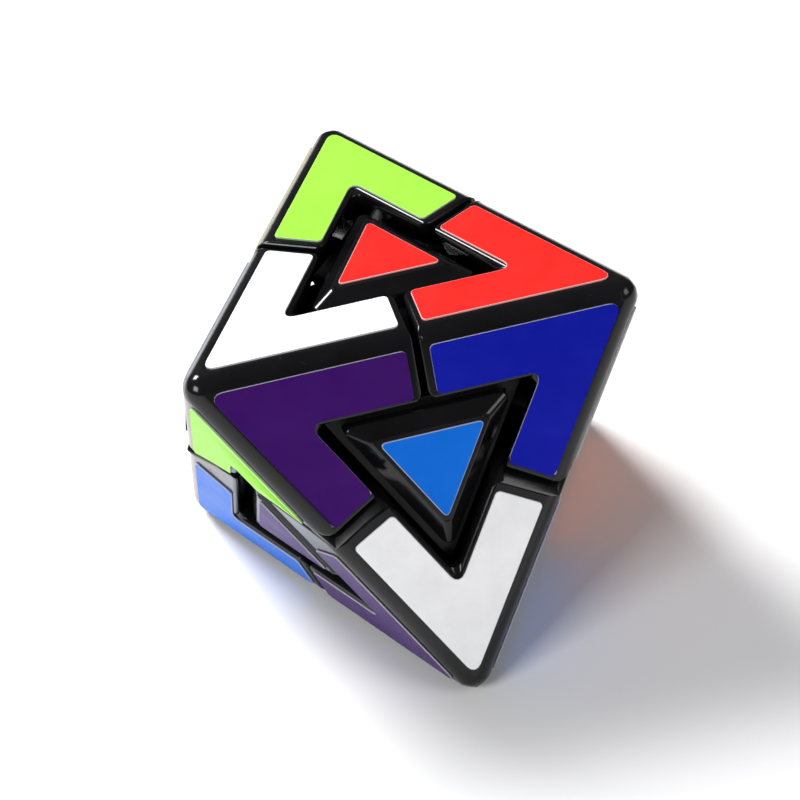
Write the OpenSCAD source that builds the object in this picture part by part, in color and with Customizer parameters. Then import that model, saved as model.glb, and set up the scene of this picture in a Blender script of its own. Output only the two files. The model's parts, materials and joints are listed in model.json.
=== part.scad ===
// Eight-sided twisty puzzle: six corner pieces and eight sprung centre buttons on a core.
// It lies on one face. The top face is level, and its layer of three corners turns about +Z.
// Lengths are millimetres. Distances called "out" run along a face's normal from the centre.

/* [Body] */
// Length of one edge of the sharp eight-sided outline
edge = 66; // [60:1:80]
// Radius of the ball that rounds off the six corners, as a share of the corner's distance
tip_share = 0.96; // [0.94:0.005:0.98]
// Radius of the ball-shaped hollow inside the corner pieces, as a share of the corner's distance
hollow_share = 0.514; // [0.51:0.002:0.52]

/* [Gaps] */
// Half the gap between neighbouring pieces at the middle of an edge
half_gap = 0.5; // [0.3:0.05:0.7]
// Clearance that the turning layer keeps from the surface on which it parts
turn_gap = 0.35; // [0.25:0.05:0.5]

/* [Stickers] */
// Thickness of a sticker
sticker_t = 0.3; // [0.15:0.05:0.5]
// Black rim between the sharp edge and the sticker
rim = 2.25; // [1.5:0.05:3]
// Width of a sticker's arm
arm_w = 7.2; // [5:0.1:8]
// Distance from the middle of an edge to the end of a sticker's arm
arm_end = 1.65; // [1:0.05:2.5]

/* [Buttons] */
// Distance from a face's middle to the wall of the well that the button sits in
well_in = 8.85; // [8.6:0.05:9.2]
// Distance from the button's middle to the foot of its sloped sides
cap_in = 7.2; // [6:0.1:7.5]
// Distance from the button's middle to the top of its sloped sides
plateau_in = 5.05; // [4:0.05:5.5]
// Height of the sloped sides
slope_h = 1.6; // [1:0.1:2]
// Depth of the button's flat top below the stickers around it
cap_drop = 0.5; // [0.3:0.05:1]
// Distance from the button's middle to the side of its sticker
centre_in = 4.4; // [3.5:0.05:5]

/* [Core] */
// Radius of the ball in the middle
core_r = 8; // [6.5:0.5:9]
// Radius of the screws' shanks
shank_r = 1.2; // [1:0.1:1.4]
// Radius of the springs' wire
wire_r = 0.3; // [0.2:0.05:0.35]
// Turns of wire in each spring
spring_turns = 4; // [3:1:5]

/* [Hidden] */
$fn = 96;

// The sharp eight-sided outline: distance of its corners, faces and edges from its middle
corner_d = edge / sqrt(2);
face_d = edge / sqrt(6);
face_in = edge / (2 * sqrt(3));
shell_d = face_d - sticker_t;
hollow_r = corner_d * hollow_share;

// Angles between the axis of a corner, its neighbouring faces and its neighbouring corners
face_tilt = acos(1 / sqrt(3));
side_tilt = acos(1 / 3);

// Longer than anything here, for cuts that go right through
far = 3 * edge;
// How far one shape runs into another that it joins or cuts
bite = 0.5;

// The surface on which the layers part, as a cone about +Z that passes through the middles of
// the slanting edges, and the round space inside the turning layer that the rest keeps to
part_rise = 0.952;
inner_wall = 0.583 * corner_d;
inner_roof = 0.35 * corner_d;
roof_start = 0.37 * corner_d;
floor_start = 0.30 * corner_d;
inner_floor = 0.27 * corner_d;

// Heights along a centre's axis, from the core outwards
arm_top = 12.2;
boss_start = 12.9;
seat_out = 14.4;
washer_out = 18.4;
washer_t = 0.5;
head_out = washer_out + washer_t;
head_h = 1.8;
plate_out = 21.5;
plate_top = 23;
cap_top = face_d - cap_drop;

// The cross of slots in a screw's head
slot_l = 2.6;
slot_w = 0.5;
slot_depth = 0.9;

// How far back from the parting cone the turning stickers end
sticker_back = 0.9;

// Radii and widths of the pieces on a centre's axis
arm_r = 3.4;
thread_start = 6;
boss_r = 4.2;
pocket_r = 3;
bore_r = shank_r + 0.1;
washer_r = 2.8;
head_r = 2.4;
coil_r = 2.1;
plate_in = 8.3;

// A corner's foot, a slice of a ball's shell about the corner's axis, and the corner's own hollow
foot_angle = 26.5;
foot_r = 18;
foot_gap = 0.05;
skin = 2.2;
cavity_r = 6.2;
cavity_start = 27;
cavity_mouth_r = 2.6;

// Sticker colours
RED = [0.90, 0.03, 0.03];
SKY = [0.00, 0.30, 0.75];
WHITE = [0.95, 0.95, 0.95];
BLUE = [0.00, 0.05, 0.45];
GREEN = [0.45, 0.85, 0.15];
YELLOW = [1.00, 0.88, 0.00];
PURPLE = [0.14, 0.00, 0.30];
ORANGE = [1.00, 0.35, 0.02];
BLACK = [0.03, 0.03, 0.03];

// Corners: name, azimuth, and the colours on the faces that lie at 0, 90, 180 and 270 degrees
// about the corner's own axis. An upper corner's face at 180 is the top, and a lower corner's
// face at 0 is the bottom.
UPPER = [["right", 0, [WHITE, SKY, RED, BLUE]],
         ["back", 120, [RED, YELLOW, GREEN, BLUE]],
         ["left", 240, [GREEN, PURPLE, WHITE, BLUE]]];
LOWER = [["low_front", 300, [ORANGE, SKY, WHITE, PURPLE]],
         ["low_left", 180, [RED, SKY, ORANGE, YELLOW]],
         ["low_back", 60, [PURPLE, GREEN, YELLOW, ORANGE]]];

// Centres: name, tilt of the face's normal from +Z, its azimuth, and the sticker's colour
CENTRES = [["top", 0, 0, RED], ["bottom", 180, 0, WHITE],
           ["front", side_tilt, 300, SKY], ["right_back", side_tilt, 60, YELLOW],
           ["left_back", side_tilt, 180, GREEN], ["low_right", 180 - side_tilt, 0, ORANGE],
           ["low_back", 180 - side_tilt, 120, BLUE], ["low_left", 180 - side_tilt, 240, PURPLE]];

// Places its children, drawn about a corner's own +Z axis, at that corner
module at_corner(azimuth, tilt) {
    translate([0, 0, face_d]) rotate([0, 0, azimuth]) rotate([0, tilt, 0]) children();
}
module at_upper(c) { at_corner(c[1], face_tilt) children(); }
module at_lower(c) { at_corner(c[1], 180 - face_tilt) children(); }

// Places its children, drawn on a face with a corner of it towards +X, on one of a corner's faces
module on_face_of_corner(azimuth) {
    rotate([0, 0, azimuth]) rotate([0, face_tilt, 0]) rotate([0, 0, 180]) children();
}

// Places its children, drawn about a face's own +Z axis with a corner towards +X, at that centre
module at_centre(c) {
    overhangs = c[1] == 180 - side_tilt;
    translate([0, 0, face_d]) rotate([0, 0, c[2]]) rotate([0, c[1], 0])
        rotate([0, 0, overhangs ? 180 : 0]) children();
}

// An upright triangle whose sides lie the given distance from its middle, a corner towards +X
module triangle(inner) { circle(r = 2 * inner, $fn = 3); }

// The chevron that a corner's sticker covers on one face, its ends square to the edges
function end_point(inner, side) = let (along = [cos(60), side * sin(60)],
    square = [sin(60), -side * cos(60)]) inner * along + arm_end * square;
module chevron() {
    outer = face_in - rim;
    inner = outer - arm_w;
    polygon([[2 * outer, 0], end_point(outer, 1), end_point(inner, 1),
             [2 * inner, 0], end_point(inner, -1), end_point(outer, -1)]);
}

// Where the parting cone crosses +Z once it is raised by a clearance
function crest(lift) = part_rise * corner_d / sqrt(2) + lift * sqrt(1 + part_rise * part_rise);

// Everything below the raised parting cone, and everything above it, as solids about +Z
module below_cone(lift) {
    reach = 2 * corner_d;
    rotate_extrude() polygon([[0, -reach], [reach, -reach],
                              [reach, crest(lift) - part_rise * reach], [0, crest(lift)]]);
}
module above_cone(lift) {
    reach = 1.5 * corner_d;
    rotate_extrude() polygon([[0, crest(lift)], [reach, crest(lift) - part_rise * reach],
                              [reach, reach], [0, reach]]);
}

// The space of the fixed pieces: the cone's outside stretch, and the round room within it
module fixed_space(lift) {
    reach = 2 * corner_d;
    wall = inner_wall + lift;
    rotate_extrude() polygon([[0, -reach], [reach, -reach],
                              [reach, crest(lift) - part_rise * reach],
                              [wall, crest(lift) - part_rise * wall], [wall, inner_roof + lift],
                              [roof_start, inner_roof + lift],
                              [floor_start, inner_floor], [0, inner_floor]]);
}

// Cuts a corner block off square to the edge that lies at the given azimuth about its axis
module edge_cut(azimuth) {
    rotate([0, 0, azimuth]) rotate([0, 45, 0])
        translate([-half_gap, -far / 2, -far / 2]) cube([far, far, far]);
}

// A corner block about its own axis: the outline's corner with the wells taken out
module corner_block(cut_edges) {
    shell_corner = shell_d * sqrt(3);
    difference() {
        intersection() {
            rotate([0, 0, 45]) cylinder(h = shell_corner, r1 = shell_corner, r2 = 0, $fn = 4);
            sphere(r = corner_d * tip_share);
        }
        for (azimuth = cut_edges) edge_cut(azimuth);
        for (azimuth = [0, 90, 180, 270])
            on_face_of_corner(azimuth) linear_extrude(height = edge) triangle(well_in);
        intersection() {
            rotate([0, 0, 45]) cylinder(h = shell_corner - skin * sqrt(3),
                                        r1 = shell_corner - skin * sqrt(3), r2 = 0, $fn = 4);
            translate([0, 0, cavity_start]) cylinder(r = cavity_r, h = edge);
        }
        cylinder(r = cavity_mouth_r, h = cavity_start + bite);
    }
}

// A corner's foot about its own axis, and the peg on it that fits the corner's mouth
module foot_block() {
    rotate_extrude() intersection() {
        polygon([[0, 0], [far * sin(foot_angle), far * cos(foot_angle)], [0, far * cos(foot_angle)]]);
        difference() {
            circle(r = hollow_r - foot_gap);
            circle(r = foot_r);
        }
    }
}
module foot_peg() {
    translate([0, 0, foot_r + bite])
        cylinder(r = cavity_mouth_r - foot_gap, h = cavity_start - foot_r - bite);
}

// Turns its children, made about the corner at azimuth 180, to another corner of its layer
module turn_to(c) { rotate([0, 0, c[1] - 180]) children(); }

module upper_corner(c) {
    color(BLACK) turn_to(c) difference() {
        at_corner(180, face_tilt) corner_block([45, 135, 225, 315]);
        translate([0, 0, face_d]) sphere(r = hollow_r);
        translate([0, 0, face_d]) fixed_space(turn_gap);
    }
}

module lower_corner(c) {
    color(BLACK) turn_to(c) difference() {
        at_corner(180, 180 - face_tilt) corner_block([45, 315]);
        translate([0, 0, face_d]) sphere(r = hollow_r);
        translate([0, 0, face_d]) above_cone(-half_gap);
    }
}

// The turning layer's feet keep only what lies above the fixed pieces, which takes in no peg
module upper_foot(c) {
    color(BLACK) turn_to(c) difference() {
        at_corner(180, face_tilt) foot_block();
        translate([0, 0, face_d]) fixed_space(turn_gap);
    }
}

module lower_foot(c) {
    color(BLACK) at_lower(c) union() {
        foot_block();
        foot_peg();
    }
}

// The ball in the middle with one drilled arm for each centre
module core_spider() {
    color(BLACK) difference() {
        union() {
            translate([0, 0, face_d]) sphere(r = core_r);
            for (c = CENTRES) at_centre(c) cylinder(r = arm_r, h = arm_top);
        }
        for (c = CENTRES)
            at_centre(c) translate([0, 0, thread_start]) cylinder(r = shank_r, h = arm_top);
    }
}

module centre_screws() {
    color([0.7, 0.7, 0.72]) for (c = CENTRES) at_centre(c) difference() {
        union() {
            translate([0, 0, thread_start]) cylinder(r = shank_r, h = head_out - thread_start + bite);
            translate([0, 0, head_out]) cylinder(r = head_r, h = head_h);
        }
        for (turn = [0, 90]) translate([0, 0, head_out + head_h]) rotate([0, 0, turn])
            cube([slot_l, slot_w, 2 * slot_depth], center = true);
    }
}

module spring_washers() {
    color([0.75, 0.75, 0.77]) for (c = CENTRES) at_centre(c)
        translate([0, 0, washer_out]) difference() {
            cylinder(r = washer_r, h = washer_t);
            translate([0, 0, -bite]) cylinder(r = bore_r, h = washer_t + 2 * bite);
        }
}

// One spring: a ring of points around the wire, carried along the coil and joined up
module spring() {
    steps_per_turn = 9;
    sides = 5;
    steps = steps_per_turn * spring_turns;
    rise = washer_out - seat_out - 2 * wire_r;
    points = [for (i = [0 : steps]) for (j = [0 : sides - 1])
        let (turn = 360 * spring_turns * i / steps, lean = 360 * j / sides,
             out = coil_r + wire_r * cos(lean))
        [out * cos(turn), out * sin(turn), wire_r + rise * i / steps + wire_r * sin(lean)]];
    skins = [for (i = [0 : steps - 1]) for (j = [0 : sides - 1])
        let (k = (j + 1) % sides)
        [i * sides + j, (i + 1) * sides + j, (i + 1) * sides + k, i * sides + k]];
    ends = [[for (j = [0 : sides - 1]) j], [for (j = [sides - 1 : -1 : 0]) steps * sides + j]];
    translate([0, 0, seat_out]) polyhedron(points = points, faces = concat(skins, ends));
}

module centre_springs() {
    color([0.6, 0.6, 0.62]) for (c = CENTRES) at_centre(c) spring();
}

// A centre's base: the plate that floors the well, and a boss that rides on the screw
module centre_base(c) {
    color(BLACK) at_centre(c) difference() {
        union() {
            translate([0, 0, boss_start]) cylinder(r = boss_r, h = plate_out - boss_start + bite);
            translate([0, 0, plate_out]) linear_extrude(height = plate_top - plate_out)
                triangle(plate_in);
        }
        translate([0, 0, boss_start - bite]) cylinder(r = bore_r, h = edge);
        translate([0, 0, seat_out]) cylinder(r = pocket_r, h = edge);
    }
}

// A button: a three-sided block with sloped sides under a flat top
module button(c) {
    straight_h = cap_top - slope_h - plate_top;
    color(BLACK) at_centre(c) translate([0, 0, plate_top]) union() {
        linear_extrude(height = straight_h) triangle(cap_in);
        translate([0, 0, straight_h]) linear_extrude(height = slope_h, scale = plateau_in / cap_in)
            triangle(cap_in);
    }
}

module centre_sticker(c) {
    color(c[3]) at_centre(c) translate([0, 0, cap_top]) linear_extrude(height = sticker_t)
        triangle(centre_in);
}

// One chevron sticker on the face at the given azimuth about a corner's axis
module corner_sticker(azimuth) {
    on_face_of_corner(azimuth) translate([0, 0, shell_d])
        linear_extrude(height = sticker_t) chevron();
}

// All of the turning layer's stickers of one colour. Those on the overhanging faces end along
// the parting cone.
module upper_stickers(colour) {
    color(colour) difference() {
        for (c = UPPER) for (i = [0 : 3]) if (c[2][i] == colour) at_upper(c) corner_sticker(90 * i);
        translate([0, 0, face_d]) below_cone(turn_gap + sticker_back);
    }
}

// All of the fixed layer's stickers of one colour, except on the face that it rests on
module lower_stickers(colour) {
    color(colour) for (c = LOWER) for (i = [1 : 3]) if (c[2][i] == colour)
        at_lower(c) corner_sticker(90 * i);
}

module bottom_sticker(c) {
    color(c[2][0]) at_lower(c) corner_sticker(0);
}

core_spider();
centre_screws();
centre_springs();
spring_washers();
for (c = UPPER) upper_corner(c);
for (c = LOWER) lower_corner(c);
for (c = UPPER) upper_foot(c);
for (c = LOWER) lower_foot(c);
for (c = CENTRES) centre_base(c);
for (c = CENTRES) button(c);
for (c = CENTRES) centre_sticker(c);
upper_stickers(RED);  // stickers_upper_red
upper_stickers(SKY);  // stickers_upper_sky
upper_stickers(WHITE);  // stickers_upper_white
upper_stickers(BLUE);  // stickers_upper_blue
upper_stickers(GREEN);  // stickers_upper_green
upper_stickers(YELLOW);  // stickers_upper_yellow
upper_stickers(PURPLE);  // stickers_upper_purple
lower_stickers(WHITE);  // stickers_lower_white
lower_stickers(SKY);  // stickers_lower_sky
lower_stickers(ORANGE);  // stickers_lower_orange
lower_stickers(PURPLE);  // stickers_lower_purple
lower_stickers(YELLOW);  // stickers_lower_yellow
lower_stickers(GREEN);  // stickers_lower_green
bottom_sticker(LOWER[0]);  // sticker_bottom_front
bottom_sticker(LOWER[1]);  // sticker_bottom_left
bottom_sticker(LOWER[2]);  // sticker_bottom_back
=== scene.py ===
"""Looks of the eight-sided twisty puzzle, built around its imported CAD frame. Lengths are metres."""
import json
import math

import bmesh
import bpy
from mathutils import Matrix, Vector

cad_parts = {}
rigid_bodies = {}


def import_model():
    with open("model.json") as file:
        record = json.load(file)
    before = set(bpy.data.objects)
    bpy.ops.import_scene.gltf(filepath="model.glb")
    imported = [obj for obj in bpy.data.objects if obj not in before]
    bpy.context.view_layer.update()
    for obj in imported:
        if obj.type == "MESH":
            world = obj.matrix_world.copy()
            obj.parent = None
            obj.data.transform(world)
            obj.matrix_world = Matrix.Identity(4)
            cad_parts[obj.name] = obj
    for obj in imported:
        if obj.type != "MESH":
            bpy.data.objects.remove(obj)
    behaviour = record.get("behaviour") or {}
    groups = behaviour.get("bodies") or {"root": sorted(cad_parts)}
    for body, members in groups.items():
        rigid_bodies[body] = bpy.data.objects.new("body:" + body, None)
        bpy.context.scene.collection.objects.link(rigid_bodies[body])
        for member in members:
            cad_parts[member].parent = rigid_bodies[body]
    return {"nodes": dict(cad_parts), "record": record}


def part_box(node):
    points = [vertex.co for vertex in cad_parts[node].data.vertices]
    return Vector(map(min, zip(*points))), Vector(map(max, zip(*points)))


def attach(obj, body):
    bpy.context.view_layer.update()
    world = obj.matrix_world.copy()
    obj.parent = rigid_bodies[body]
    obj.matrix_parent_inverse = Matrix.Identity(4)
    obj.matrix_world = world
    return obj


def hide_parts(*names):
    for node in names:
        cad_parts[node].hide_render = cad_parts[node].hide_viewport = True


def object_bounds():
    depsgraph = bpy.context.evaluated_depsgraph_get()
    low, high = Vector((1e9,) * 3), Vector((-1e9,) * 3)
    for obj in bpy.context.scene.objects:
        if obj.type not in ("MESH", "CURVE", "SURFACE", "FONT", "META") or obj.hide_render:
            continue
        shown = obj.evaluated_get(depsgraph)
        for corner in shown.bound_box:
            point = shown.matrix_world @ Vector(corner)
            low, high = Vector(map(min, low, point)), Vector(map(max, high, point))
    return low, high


for default_object in list(bpy.data.objects):
    bpy.data.objects.remove(default_object)
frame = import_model()
cad_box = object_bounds()

MM = 0.001

# The sharp outline, worked out from the frame: an octahedron that lies on a face
HEIGHT = cad_box[1].z
MIDDLE = Vector((0, 0, HEIGHT / 2))
EDGE = HEIGHT * math.sqrt(1.5)
SHELL_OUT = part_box("corner_right")[1].z - HEIGHT / 2
TIP_OUT = SHELL_OUT * math.sqrt(3)
FACE_TILT = math.acos(1 / math.sqrt(3))
SIDE_TILT = math.acos(1 / 3)

# The surface on which the layers part, a cone about +Z through the middles of the slanting edges,
# with the clearances above and below it
CONE_RISE = 0.952
CONE_FOOT = EDGE / 2
TURN_GAP = 0.35 * MM
HALF_GAP = 0.5 * MM

# How near to a clearance a point counts as on it, and in how many steps its inner point is brought
# on to it
CONE_MATCH = 0.06 * MM
CONE_STEPS = 4

# Depth of the corners' mouldings behind their outer faces, and of the turning ones' side faces,
# which pass in front of the fixed buttons
SHELL_DEPTH = 5.3 * MM
PASSING_DEPTH = 1.5 * MM

# The top face's normal reaches higher than this, and the side faces' don't
TOP_FACE_HEIGHT = 0.9

# How far a straight stretch of a moulding's outline may stray from the CAD's curve, and the
# shortest stretch that is kept
STRAIGHT_WITHIN = 0.25 * MM
SHORTEST_STRETCH = 1.3 * MM

# Tolerances for joining points, for taking faces as one, and for finding faces on the sharp outline
WELD = 0.002 * MM
FLAT_ANGLE = math.radians(0.3)
ON_OUTLINE = 0.05 * MM
TIP_SPREAD = 0.02 * MM
SAME_WAY = 0.999

# Edges that turn less than the first angle stay sharp. A rounding's reach stops growing past the
# second. A rim rounds what then turns more than the third. A sticker's tips turn more than the
# last.
LEAST_TURN = math.radians(14)
WIDEST_TURN = math.radians(125)
RIM_TURN = math.radians(60)
TIP_TURN = math.radians(105)

# Radii of rounded edges, and the segments that they are rounded in
OUTLINE_R = 2.7 * MM
RIM_R = 0.62 * MM
WELL_CORNER_R = 1.5 * MM
STICKER_CORNER_R = 0.7 * MM
STICKER_TIP_R = 1.2 * MM
STICKER_RIM_R = 0.11 * MM
BUTTON_CORNER_R = 1.35 * MM
BUTTON_RIM_R = 0.4 * MM
CENTRE_STICKER_CORNER_R = 0.6 * MM
SEGMENTS = 4
BUTTON_SEGMENTS = 5
RIM_SEGMENTS = 2

# Faces of a sticker that lie less than this behind the mouldings' outer faces are its flat sides
FILM_DEPTH = 2 * MM

# An edge rises from a button's foot when its direction leans at least this much towards its face
BUTTON_RISE = 0.2

# An edge of a well shorter than this share of the thinnest moulding stays sharp
SHORT_EDGE = 0.9

# Sticker colours, as linear light
COLOURS = {
    "red": (0.90, 0.018, 0.014),
    "sky": (0.0, 0.14, 0.66),
    "white": (0.84, 0.84, 0.85),
    "blue": (0.0005, 0.005, 0.33),
    "green": (0.31, 0.74, 0.06),
    "yellow": (0.95, 0.72, 0.004),
    "purple": (0.038, 0.0006, 0.12),
    "orange": (0.95, 0.17, 0.006),
}

# Refraction and reflection of the black plastics and of the sticker film
PLASTIC_IOR, PLASTIC_SPECULAR = 1.5, 0.34
FILM_IOR, FILM_SPECULAR = 1.48, 0.14

# Nearly all noise lies between these values
NOISE_LOW, NOISE_HIGH = 0.3, 0.7

# Sizes of the textures' marks, as noise cells per metre
SMUDGES = 75
PLASTIC_RIPPLES = 420
PLASTIC_GRAIN = 9000
CLOUDS = 140
FILM_WAVES = 260
FILM_GRAIN = 5200
# Size of the tint changes in the painted highlight on the stickers' edges
HIGHLIGHT_EDGE_TINTS = 3000
EDGE_GRAIN = 8000
DRAWN_MARKS = (900, 900, 9000)

# Depths of the textures' relief
PLASTIC_RIPPLE_DEPTH = 0.02 * MM
FILM_WAVE_DEPTH = 0.03 * MM
FILM_GRAIN_DEPTH = 0.006 * MM
EDGE_GRAIN_DEPTH = 0.01 * MM
SCRATCH_DEPTH = 0.006 * MM
DRAWN_DEPTH = 0.004 * MM

# Hairline scratches: the turn and the cells per metre of each direction's streaks, and the part of
# the noise's range over which a streak becomes a scratch
SCRATCH_STREAKS = [((0.4, 0.9, 0.3), (60, 1400, 1400)), ((1.1, 0.2, 1.7), (1100, 1100, 45))]
SCRATCH_FROM, SCRATCH_TO = 0.70, 0.76

# How much rougher a scratch is than the plastic or the film around it
PLASTIC_SCRATCH = 0.16
FILM_SCRATCH = 0.12

# The stage: a round floor, square lights as (name, place, width, power), and an even world
FLOOR_SIDES = 96
FLOOR_RADIUS = 1.0
FLOOR_COLOUR = (0.86, 0.86, 0.87, 1)
FLOOR_ROUGHNESS = 0.6
LIGHTS = [
    ("key", (-0.58, 0.26, 0.74), 0.34, 13.0),
    ("front_fill", (-0.45, -0.80, 0.62), 0.45, 7.0),
    ("right_fill", (0.80, -0.15, 0.55), 0.45, 2.6),
]
WORLD_STRENGTH = 0.12

# The camera looks at the middle of the puzzle from this side, with this roll
CAMERA_AZIMUTH = math.radians(20.66)
CAMERA_ELEVATION = math.radians(39.62)
CAMERA_ROLL = math.radians(7.06)
CAMERA_DISTANCE = 5.134 * EDGE
CAMERA_LENS = 102.6
CAMERA_CLIP_START = 0.01


def direction(tilt, azimuth):
    """The unit vector that leans tilt from +Z towards azimuth, both in radians."""
    across = math.sin(tilt)
    return Vector((across * math.cos(azimuth), across * math.sin(azimuth), math.cos(tilt)))


THIRDS = [math.radians(a) for a in (0, 120, 240)]
SIXTHS = [math.radians(a) for a in (60, 180, 300)]
FACE_NORMALS = (
    [direction(0, 0), direction(math.pi, 0)]
    + [direction(SIDE_TILT, a) for a in SIXTHS]
    + [direction(math.pi - SIDE_TILT, a) for a in THIRDS]
)
CORNER_AXES = (
    [direction(FACE_TILT, a) for a in THIRDS]
    + [direction(math.pi - FACE_TILT, a) for a in SIXTHS]
)


# ---------------------------------------------------------------- materials

class Nodes:
    """A new material's node tree, with short ways to add and join its nodes."""

    def __init__(self, name):
        self.material = bpy.data.materials.new(name)
        self.material.use_nodes = True
        self.tree = self.material.node_tree
        self.shader = self.tree.nodes["Principled BSDF"]
        self.place = self.add("ShaderNodeTexCoord").outputs["Object"]

    def add(self, kind, **settings):
        """A new node of this kind, with the given settings."""
        node = self.tree.nodes.new(kind)
        for key, value in settings.items():
            setattr(node, key, value)
        return node

    def join(self, output, target):
        """Links an output to an input."""
        self.tree.links.new(output, target)

    def noise(self, scale, detail, roughness=0.5, stretch=None, turn=(0, 0, 0)):
        """Noise of the given cells per metre, stretched along an axis if asked."""
        node = self.add("ShaderNodeTexNoise")
        node.inputs["Scale"].default_value = scale
        node.inputs["Detail"].default_value = detail
        node.inputs["Roughness"].default_value = roughness
        place = self.place
        if stretch:
            mapping = self.add("ShaderNodeMapping")
            mapping.inputs["Scale"].default_value = stretch
            mapping.inputs["Rotation"].default_value = turn
            self.join(place, mapping.inputs["Vector"])
            place = mapping.outputs["Vector"]
        self.join(place, node.inputs["Vector"])
        return node.outputs["Fac"]

    def remap(self, value, from_low, from_high, to_low, to_high):
        """The value carried over from one range to another, and held inside it."""
        node = self.add("ShaderNodeMapRange")
        node.inputs["From Min"].default_value = from_low
        node.inputs["From Max"].default_value = from_high
        node.inputs["To Min"].default_value = to_low
        node.inputs["To Max"].default_value = to_high
        self.join(value, node.inputs["Value"])
        return node.outputs["Result"]

    def sum(self, a, b):
        """The two values added."""
        node = self.add("ShaderNodeMath", operation="ADD")
        self.join(a, node.inputs[0])
        self.join(b, node.inputs[1])
        return node.outputs[0]

    def colour_between(self, factor, low, high):
        """Makes the base colour run from low to high with the factor."""
        node = self.add("ShaderNodeMix", data_type="RGBA")
        self.join(factor, node.inputs["Factor"])
        node.inputs["A"].default_value = (*low, 1)
        node.inputs["B"].default_value = (*high, 1)
        self.join(node.outputs["Result"], self.shader.inputs["Base Color"])

    def bump(self, height, depth, strength, below=None):
        """Relief of this depth, on top of the relief below if there is one."""
        node = self.add("ShaderNodeBump")
        node.inputs["Strength"].default_value = strength
        node.inputs["Distance"].default_value = depth
        self.join(height, node.inputs["Height"])
        if below:
            self.join(below, node.inputs["Normal"])
        self.join(node.outputs["Normal"], self.shader.inputs["Normal"])
        return node.outputs["Normal"]


def scratches(nodes):
    """Thin hairline marks in two directions, as a mask that is 1 on a scratch."""
    masks = []
    for turn, stretch in SCRATCH_STREAKS:
        streak = nodes.noise(1.0, detail=2.0, stretch=stretch, turn=turn)
        masks.append(nodes.remap(streak, SCRATCH_FROM, SCRATCH_TO, 0.0, 1.0))
    return nodes.sum(*masks)


def plastic(name, colour, gloss, grain):
    """Moulded black plastic: a faint ripple, soft smudges and hairline scratches.

    gloss is its roughness, and grain the depth of its fine grain.
    """
    nodes = Nodes(name)
    smudge = nodes.noise(SMUDGES, detail=5.0, roughness=0.6)
    hairline = scratches(nodes)
    lifted = tuple(c * 2.2 + 0.002 for c in colour)
    nodes.colour_between(nodes.remap(smudge, 0.35, 0.75, 0, 1), colour, lifted)
    rough = nodes.sum(nodes.remap(smudge, NOISE_LOW, NOISE_HIGH, gloss - 0.035, gloss + 0.06),
                      nodes.remap(hairline, 0, 1, 0, PLASTIC_SCRATCH))
    nodes.join(rough, nodes.shader.inputs["Roughness"])
    ripple = nodes.bump(nodes.noise(PLASTIC_RIPPLES, detail=1.0), PLASTIC_RIPPLE_DEPTH, 0.35)
    grainy = nodes.bump(nodes.noise(PLASTIC_GRAIN, detail=2.0), grain, 0.5, below=ripple)
    nodes.bump(nodes.remap(hairline, 0, 1, 1, 0), SCRATCH_DEPTH, 0.5, below=grainy)
    nodes.shader.inputs["IOR"].default_value = PLASTIC_IOR
    nodes.shader.inputs["Specular IOR Level"].default_value = PLASTIC_SPECULAR
    return nodes.material


def sticker_film(name, colour):
    """Satin vinyl: even colour with a slight cloudiness, and a fine film texture."""
    nodes = Nodes(name)
    cloud = nodes.noise(CLOUDS, detail=6.0, roughness=0.65)
    darker = tuple(c * 0.94 for c in colour)
    lighter = tuple(min(1.0, c * 1.05 + 0.003) for c in colour)
    nodes.colour_between(nodes.remap(cloud, NOISE_LOW, NOISE_HIGH, 0, 1), darker, lighter)
    hairline = scratches(nodes)
    rough = nodes.sum(nodes.remap(cloud, NOISE_LOW, NOISE_HIGH, 0.30, 0.42),
                      nodes.remap(hairline, 0, 1, 0, FILM_SCRATCH))
    nodes.join(rough, nodes.shader.inputs["Roughness"])
    waves = nodes.bump(nodes.noise(FILM_WAVES, detail=1.5), FILM_WAVE_DEPTH, 0.35)
    nodes.bump(nodes.noise(FILM_GRAIN, detail=3.0), FILM_GRAIN_DEPTH, 0.6, below=waves)
    nodes.shader.inputs["IOR"].default_value = FILM_IOR
    nodes.shader.inputs["Specular IOR Level"].default_value = FILM_SPECULAR
    return nodes.material


def painted_highlight_edge(name, colour):
    """A sticker's edge painted pale: a painted highlight along its sides and rim, a paler mix of the
    film's colour.
    """
    nodes = Nodes(name)
    pale = tuple(0.35 * c + 0.42 for c in colour)
    nodes.colour_between(nodes.noise(HIGHLIGHT_EDGE_TINTS, detail=4.0), tuple(c * 0.8 for c in pale), pale)
    nodes.shader.inputs["Roughness"].default_value = 0.55
    nodes.bump(nodes.noise(EDGE_GRAIN, detail=2.0), EDGE_GRAIN_DEPTH, 0.5)
    return nodes.material


def steel(name, colour, rough):
    """Plated steel with fine drawn marks."""
    nodes = Nodes(name)
    marks = nodes.noise(1.0, detail=4.0, stretch=DRAWN_MARKS)
    nodes.colour_between(marks, tuple(c * 0.8 for c in colour), colour)
    nodes.join(nodes.remap(marks, NOISE_LOW, NOISE_HIGH, rough - 0.08, rough + 0.1),
               nodes.shader.inputs["Roughness"])
    nodes.shader.inputs["Metallic"].default_value = 1.0
    nodes.bump(marks, DRAWN_DEPTH, 0.5)
    return nodes.material


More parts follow.
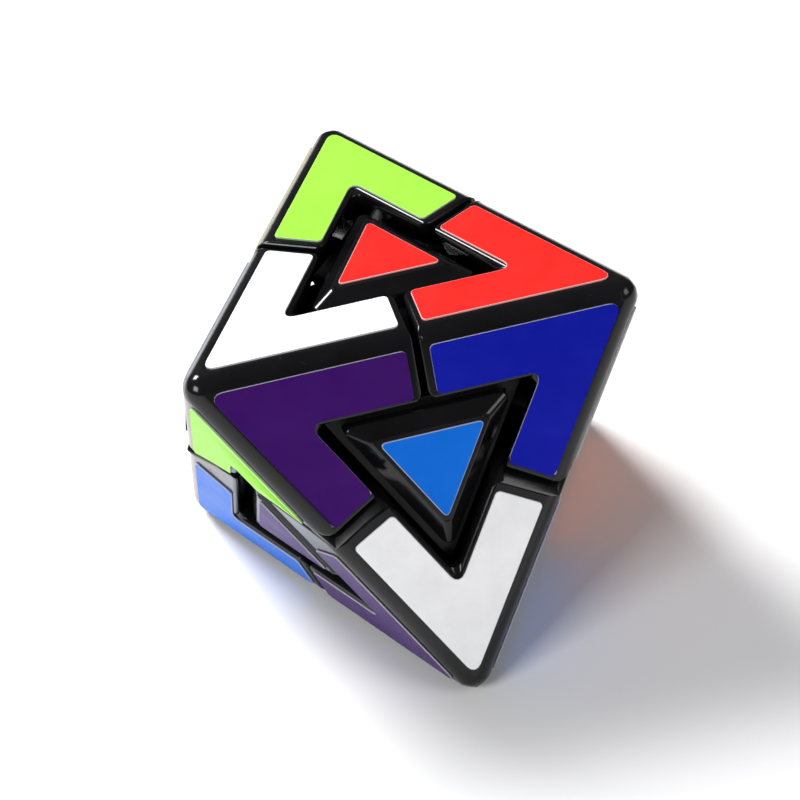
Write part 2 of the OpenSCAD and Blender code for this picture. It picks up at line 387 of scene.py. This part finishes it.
MATERIALS = {
    "black_plastic": plastic("black_plastic", (0.0025, 0.0025, 0.003), 0.13, 0.0015 * MM),
    "base_plastic": plastic("base_plastic", (0.004, 0.004, 0.0045), 0.34, 0.004 * MM),
    "inner_plastic": plastic("inner_plastic", (0.006, 0.006, 0.0065), 0.42, 0.006 * MM),
    "screw_steel": steel("screw_steel", (0.60, 0.60, 0.62), 0.28),
    "spring_steel": steel("spring_steel", (0.52, 0.52, 0.54), 0.22),
    "washer_steel": steel("washer_steel", (0.58, 0.58, 0.60), 0.34),
}
# Each sticker colour also gets a pale edge material: a painted highlight along the stickers' sides
# and rims
HIGHLIGHT_EDGE_MATERIALS = {}
for colour_name, linear in COLOURS.items():
    MATERIALS["sticker_" + colour_name] = sticker_film("sticker_" + colour_name, linear)
    HIGHLIGHT_EDGE_MATERIALS["sticker_" + colour_name] = painted_highlight_edge("painted_highlight_edge_" + colour_name, linear)


# ---------------------------------------------------------------- pieces

BEVEL_WEIGHT = "bevel_weight_edge"
SLOT_OF = {row["node"]: row["material_slot"] for row in frame["record"]["subparts"]}
BODY_OF = {
    node: body
    for body, members in frame["record"]["behaviour"]["bodies"].items()
    for node in members
}


def join_flat_faces(work):
    """Makes one face of neighbours that lie in one plane."""
    bmesh.ops.dissolve_limit(work, angle_limit=FLAT_ANGLE, verts=work.verts, edges=work.edges)
    work.normal_update()


def welded(node):
    """The CAD node's mesh with its flat faces whole again."""
    work = bmesh.new()
    work.from_mesh(frame["nodes"][node].data)
    work.edges.layers.float.new(BEVEL_WEIGHT)
    bmesh.ops.remove_doubles(work, verts=work.verts, dist=WELD)
    join_flat_faces(work)
    return work


def turn_of(edge):
    """The angle between an edge's two faces, or 0 at an open edge."""
    if len(edge.link_faces) != 2:
        return 0.0
    return edge.link_faces[0].normal.angle(edge.link_faces[1].normal, 0.0)


def rounded_piece(work, name, node, radius_of, materials, segments=SEGMENTS, rim=0.0):
    """Makes a piece from work, rounding each edge to the radius that radius_of gives for it.

    If a rim is given, every edge that is still sharp is rounded to it, in the second material.
    """
    reach = {}
    for edge in work.edges:
        angle = turn_of(edge)
        radius = radius_of(edge) if angle > LEAST_TURN else 0.0
        if radius:
            reach[edge] = radius * math.tan(min(angle, WIDEST_TURN) / 2)
    widest = max(reach.values())
    weight = work.edges.layers.float[BEVEL_WEIGHT]
    for edge, width in reach.items():
        edge[weight] = width / widest
    mesh = bpy.data.meshes.new(name)
    work.to_mesh(mesh)
    work.free()
    mesh.shade_smooth()
    piece = bpy.data.objects.new(name, mesh)
    bpy.context.scene.collection.objects.link(piece)
    for material in materials:
        mesh.materials.append(material)
    bevel = piece.modifiers.new("rounding", "BEVEL")
    bevel.limit_method = "WEIGHT"
    bevel.width = widest
    bevel.segments = segments
    bevel.use_clamp_overlap = False
    if rim:
        edging = piece.modifiers.new("rim", "BEVEL")
        edging.limit_method = "ANGLE"
        edging.angle_limit = RIM_TURN
        edging.width = rim
        edging.segments = RIM_SEGMENTS
        edging.material = 1
    shade = piece.modifiers.new("flat_faces", "WEIGHTED_NORMAL")
    shade.weight = 100
    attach(piece, BODY_OF[node])
    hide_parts(node)


def outer_normal(face):
    """The outline's face that this face lies on, as its normal, or None."""
    for normal in FACE_NORMALS:
        out = (face.calc_center_median() - MIDDLE).dot(normal)
        if abs(out - SHELL_OUT) < ON_OUTLINE and face.normal.dot(normal) > SAME_WAY:
            return normal
    return None


def sharpen_tip(work):
    """Draws the ball-shaped tip together to the outline's corner, so that it rounds off evenly."""
    furthest = max((v.co - MIDDLE).length for v in work.verts)
    blunt = [v for v in work.verts if (v.co - MIDDLE).length > furthest - TIP_SPREAD]
    mean = sum(((v.co - MIDDLE) for v in blunt), Vector()) / len(blunt)
    axis = max(CORNER_AXES, key=lambda a: a.dot(mean))
    bmesh.ops.pointmerge(work, verts=blunt, merge_co=MIDDLE + axis * TIP_OUT)
    join_flat_faces(work)


def bulge(vert):
    """How far a point of an open border lies from the line between its neighbours."""
    first, second = (edge.other_vert(vert).co for edge in vert.link_edges)
    return (vert.co - first).cross(second - first).length / (second - first).length


def longest_stretch(vert):
    """The length of the longest edge that meets this point."""
    return max(edge.calc_length() for edge in vert.link_edges)


def straighten(work):
    """Takes out the border's small steps, then its points that its shape doesn't need."""
    while True:
        steps = [edge for edge in work.edges if edge.calc_length() < SHORTEST_STRETCH
                 and all(len(vert.link_edges) == 2 for vert in edge.verts)]
        if not steps:
            break
        shortest = min(steps, key=lambda edge: edge.calc_length())
        bmesh.ops.dissolve_verts(work, verts=[min(shortest.verts, key=longest_stretch)])
    while True:
        spare = [vert for vert in work.verts if len(vert.link_edges) == 2]
        least = min(spare, key=bulge)
        if bulge(least) > STRAIGHT_WITHIN:
            return
        bmesh.ops.dissolve_verts(work, verts=[least])


def cone_clearance(point):
    """How far a point lies above the surface on which the layers part, a cone about +Z."""
    out = math.hypot(point.x, point.y)
    return (point.z - MIDDLE.z + CONE_RISE * (out - CONE_FOOT)) / math.hypot(1, CONE_RISE)


def depth_behind(normal, turning):
    """How deep a moulding reaches behind an outer face."""
    return PASSING_DEPTH if turning and normal.z < TOP_FACE_HEIGHT else SHELL_DEPTH


def sunk(point, normals, turning):
    """A point of the outside moved in behind its faces, and kept on its own side of the cone."""
    depths = [depth_behind(normal, turning) for normal in normals]
    if len(normals) == 1:
        step = normals[0] * depths[0]
    elif len(normals) == 2:
        lean = normals[0].dot(normals[1])
        step = normals[0] * (depths[0] - lean * depths[1])
        step += normals[1] * (depths[1] - lean * depths[0])
        step /= 1 - lean * lean
    else:
        step = sum(normals, Vector()).normalized() * math.sqrt(3) * min(depths)
    inner = point - step
    wanted = cone_clearance(point)
    if turning and wanted > TURN_GAP and cone_clearance(inner) < TURN_GAP:
        wanted = TURN_GAP
    if len(normals) > 2 or min(abs(wanted - TURN_GAP), abs(wanted + HALF_GAP)) > CONE_MATCH:
        return inner
    for _ in range(CONE_STEPS):
        slope = Vector((CONE_RISE * inner.x, CONE_RISE * inner.y, 0)) / math.hypot(inner.x, inner.y)
        slope = (slope + Vector((0, 0, 1))).normalized()
        if len(normals) == 1:
            along = slope - normals[0] * slope.dot(normals[0])
        else:
            along = normals[0].cross(normals[1])
        along.normalize()
        inner += along * (wanted - cone_clearance(inner)) / along.dot(slope)
    return inner


def corner_piece(node):
    """A corner's moulding: a shell behind the four outer faces, which keep the CAD outline."""
    work = welded(node)
    turning = BODY_OF[node] != "root"
    sharpen_tip(work)
    inside = [face for face in work.faces if not outer_normal(face)]
    bmesh.ops.delete(work, geom=inside, context="FACES")
    straighten(work)
    skins = {face: outer_normal(face) for face in work.faces}
    inner = {}
    for vert in list(work.verts):
        normals = [skins[face] for face in vert.link_faces]
        inner[vert] = work.verts.new(sunk(vert.co, normals, turning))
    rims = [(*edge.verts, edge.link_faces[0]) for edge in work.edges if edge.is_boundary]
    for face in skins:
        work.faces.new([inner[vert] for vert in reversed(face.verts)])
    for first, second, face in rims:
        order = list(face.verts)
        if order[(order.index(first) + 1) % len(order)] != second:
            first, second = second, first
        work.faces.new((second, first, inner[first], inner[second]))
    join_flat_faces(work)
    outside = {face: outer_normal(face) for face in work.faces}

    def radius(edge):
        ours = [outside[face] is not None for face in edge.link_faces]
        if all(ours):
            return OUTLINE_R
        if any(ours):
            return RIM_R
        rises = any(outside[face] for vert in edge.verts for face in vert.link_faces)
        long = edge.calc_length() > PASSING_DEPTH * SHORT_EDGE
        return WELL_CORNER_R if rises and long else 0.0

    rounded_piece(work, node + "_moulding", node, radius, [MATERIALS["black_plastic"]])


def button_piece(node):
    """A button with rounded corners and a finer rounding along its rims."""
    work = welded(node)
    middle = sum((v.co for v in work.verts), Vector()) / len(work.verts)
    normal = max(FACE_NORMALS, key=lambda n: n.dot(middle - MIDDLE))

    def radius(edge):
        lean = abs((edge.verts[0].co - edge.verts[1].co).normalized().dot(normal))
        return BUTTON_CORNER_R if lean > BUTTON_RISE else BUTTON_RIM_R

    plastics = [MATERIALS["black_plastic"]]
    rounded_piece(work, node + "_cap", node, radius, plastics, segments=BUTTON_SEGMENTS)


def sticker_piece(node, end_radius, tip_radius):
    """A sticker, or several of one colour, with rounded corners and a painted highlight along its
    edge.
    """
    work = welded(node)
    flat = {}
    for face in work.faces:
        parallel = max(n.dot(face.normal) for n in FACE_NORMALS) > SAME_WAY
        out = abs((face.calc_center_median() - MIDDLE).dot(face.normal))
        flat[face] = parallel and out > SHELL_OUT - FILM_DEPTH
        face.material_index = 0 if flat[face] else 1

    def radius(edge):
        if any(flat[face] for face in edge.link_faces):
            return 0.0
        return tip_radius if turn_of(edge) > TIP_TURN else end_radius

    slot = SLOT_OF[node]
    # The sticker's sides and rim get the pale edge material, a painted highlight
    films = [MATERIALS[slot], HIGHLIGHT_EDGE_MATERIALS[slot]]
    rounded_piece(work, node + "_film", node, radius, films, rim=STICKER_RIM_R)


for node_name in sorted(frame["nodes"]):
    if node_name.startswith("corner_"):
        corner_piece(node_name)
    elif node_name.startswith("button_"):
        button_piece(node_name)
    elif node_name.startswith("centre_sticker_"):
        sticker_piece(node_name, CENTRE_STICKER_CORNER_R, CENTRE_STICKER_CORNER_R)
    elif node_name.startswith("sticker"):
        sticker_piece(node_name, STICKER_CORNER_R, STICKER_TIP_R)
    else:
        cad_mesh = frame["nodes"][node_name].data
        cad_mesh.materials.clear()
        cad_mesh.materials.append(MATERIALS[SLOT_OF[node_name]])


# ---------------------------------------------------------------- stage, lights and camera

def make_floor():
    """The pale round floor that the puzzle lies on."""
    turns = [math.tau * i / FLOOR_SIDES for i in range(FLOOR_SIDES)]
    rim = [(FLOOR_RADIUS * math.cos(turn), FLOOR_RADIUS * math.sin(turn), 0) for turn in turns]
    mesh = bpy.data.meshes.new("floor")
    mesh.from_pydata(rim, [], [range(FLOOR_SIDES)])
    nodes = Nodes("pale_floor")
    nodes.shader.inputs["Base Color"].default_value = FLOOR_COLOUR
    nodes.shader.inputs["Roughness"].default_value = FLOOR_ROUGHNESS
    mesh.materials.append(nodes.material)
    floor = bpy.data.objects.new("floor", mesh)
    bpy.context.scene.collection.objects.link(floor)


def make_light(name, place, width, power):
    """A square soft light that points at the middle of the puzzle."""
    data = bpy.data.lights.new(name, "AREA")
    data.shape = "SQUARE"
    data.size = width
    data.energy = power
    light = bpy.data.objects.new(name, data)
    light.location = place
    light.rotation_mode = "QUATERNION"
    light.rotation_quaternion = (MIDDLE - Vector(place)).to_track_quat("-Z", "Y")
    bpy.context.scene.collection.objects.link(light)


def make_world():
    """An even white surround."""
    world = bpy.data.worlds.new("studio")
    world.use_nodes = True
    background = world.node_tree.nodes["Background"]
    background.inputs["Color"].default_value = (1, 1, 1, 1)
    background.inputs["Strength"].default_value = WORLD_STRENGTH
    bpy.context.scene.world = world


def make_camera():
    """The camera at the photograph's viewing angle: it looks at the middle of the puzzle."""
    level_part = math.cos(CAMERA_ELEVATION)
    back = Vector((math.sin(CAMERA_AZIMUTH) * level_part, -math.cos(CAMERA_AZIMUTH) * level_part,
                   math.sin(CAMERA_ELEVATION)))
    data = bpy.data.cameras.new("camera")
    data.lens = CAMERA_LENS
    data.clip_start = CAMERA_CLIP_START
    camera = bpy.data.objects.new("camera", data)
    camera.rotation_mode = "QUATERNION"
    level = (-back).to_track_quat("-Z", "Y")
    camera.rotation_quaternion = level @ Matrix.Rotation(-CAMERA_ROLL, 3, "Z").to_quaternion()
    camera.location = MIDDLE + back * CAMERA_DISTANCE
    bpy.context.scene.collection.objects.link(camera)
    bpy.context.scene.camera = camera


bpy.context.scene.view_settings.view_transform = "Standard"
make_floor()
for light_settings in LIGHTS:
    make_light(*light_settings)
make_world()
make_camera()
